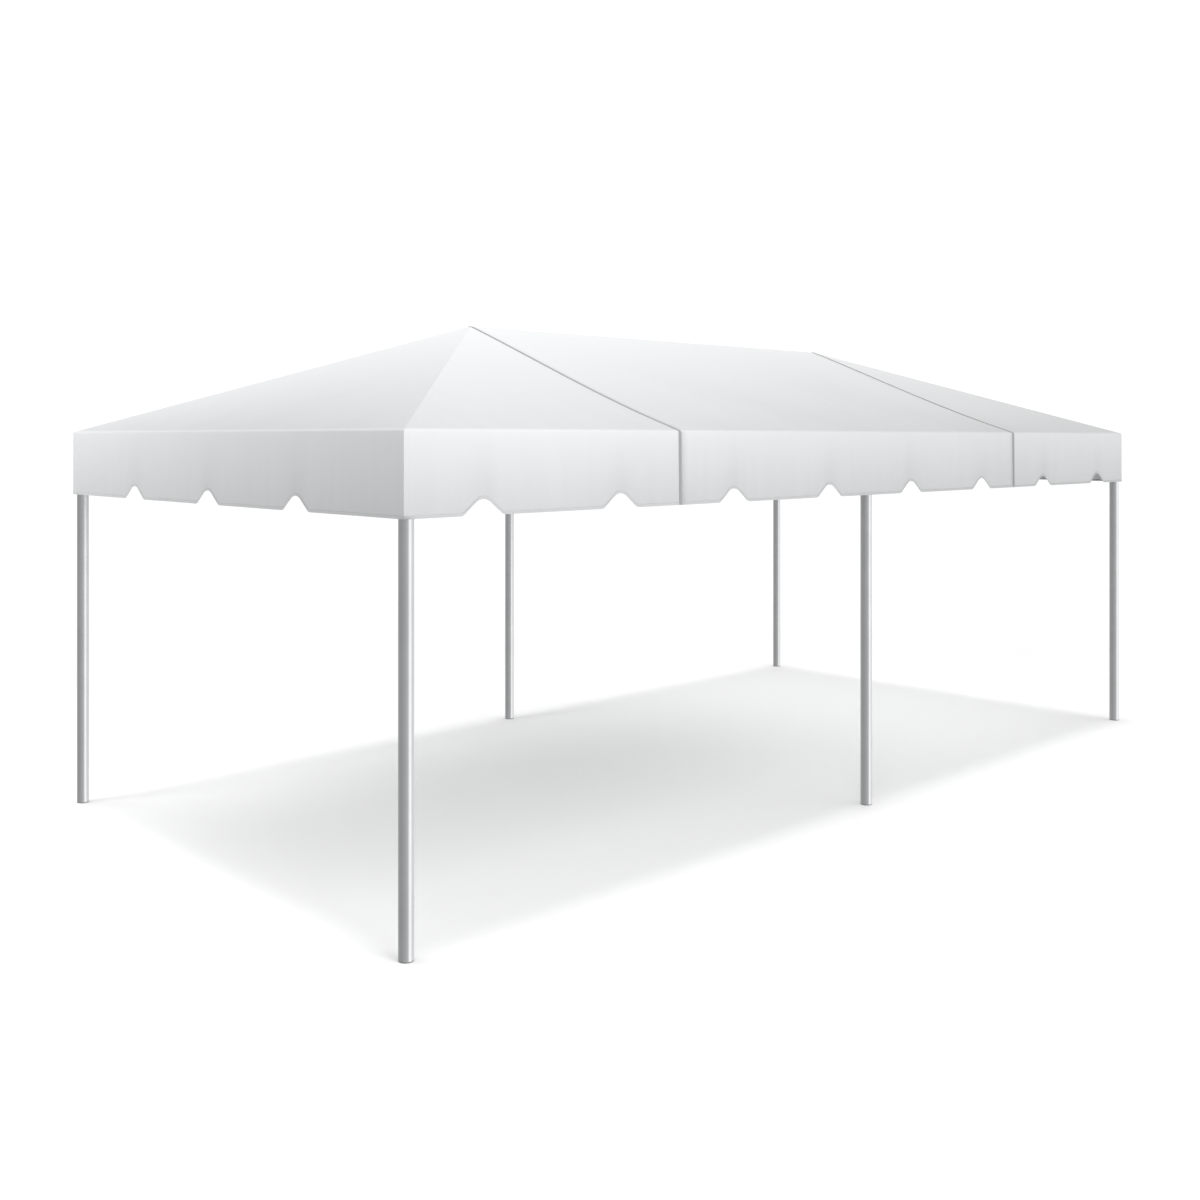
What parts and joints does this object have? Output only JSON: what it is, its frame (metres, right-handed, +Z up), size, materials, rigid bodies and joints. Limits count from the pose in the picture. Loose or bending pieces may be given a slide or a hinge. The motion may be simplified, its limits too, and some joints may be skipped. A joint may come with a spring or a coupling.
{
  "type": "marquee tent",
  "caption": "White hip-roofed frame tent with a notched valance, carried on round metal legs and open on all sides.",
  "frame": {"origin": "on the ground under the middle of the tent", "axes": "+X along the length, towards the right end; +Y from the front long side to the back; +Z up"},
  "size_m": [6.096, 3.048, 2.5699],
  "materials": {
    "tube": "mill-finished aluminium tube, drawn along its length",
    "fitting": "welded aluminium, dull",
    "canopy": "white vinyl-coated polyester, satin",
    "binding": "grey vinyl strip over the section seams",
    "fastener": "zinc-plated pins and rings",
    "foot": "dark moulded plug in the foot of each leg"
  },
  "bodies": {
    "root": {"leg_front_left": "tube", "leg_front_middle": "tube", "leg_front_right": "tube", "leg_back_left": "tube", "leg_back_middle": "tube", "leg_back_right": "tube", "eave_tube_front_left": "tube", "hip_rafter_front_left": "tube", "roof_rafter_front_left": "tube", "eave_tube_front_right": "tube", "hip_rafter_front_right": "tube", "roof_rafter_front_right": "tube", "eave_tube_back_left": "tube", "hip_rafter_back_left": "tube", "roof_rafter_back_left": "tube", "eave_tube_back_right": "tube", "hip_rafter_back_right": "tube", "roof_rafter_back_right": "tube", "eave_tube_left_end": "tube", "eave_tube_right_end": "tube", "ridge_tube": "tube", "corner_fitting_front_left": "fitting", "corner_fitting_front_right": "fitting", "side_fitting_front": "fitting", "corner_fitting_back_left": "fitting", "corner_fitting_back_right": "fitting", "side_fitting_back": "fitting", "crown_fitting_left": "fitting", "crown_fitting_right": "fitting", "roof_front_left": "canopy", "roof_front_middle": "canopy", "roof_front_right": "canopy", "roof_back_left": "canopy", "roof_back_middle": "canopy", "roof_back_right": "canopy", "roof_left_end": "canopy", "roof_right_end": "canopy", "valance_front_left": "canopy", "valance_front_middle": "canopy", "valance_front_right": "canopy", "valance_back_left": "canopy", "valance_back_middle": "canopy", "valance_back_right": "canopy", "valance_left_end": "canopy", "valance_right_end": "canopy"}
  },
  "joints": []
}
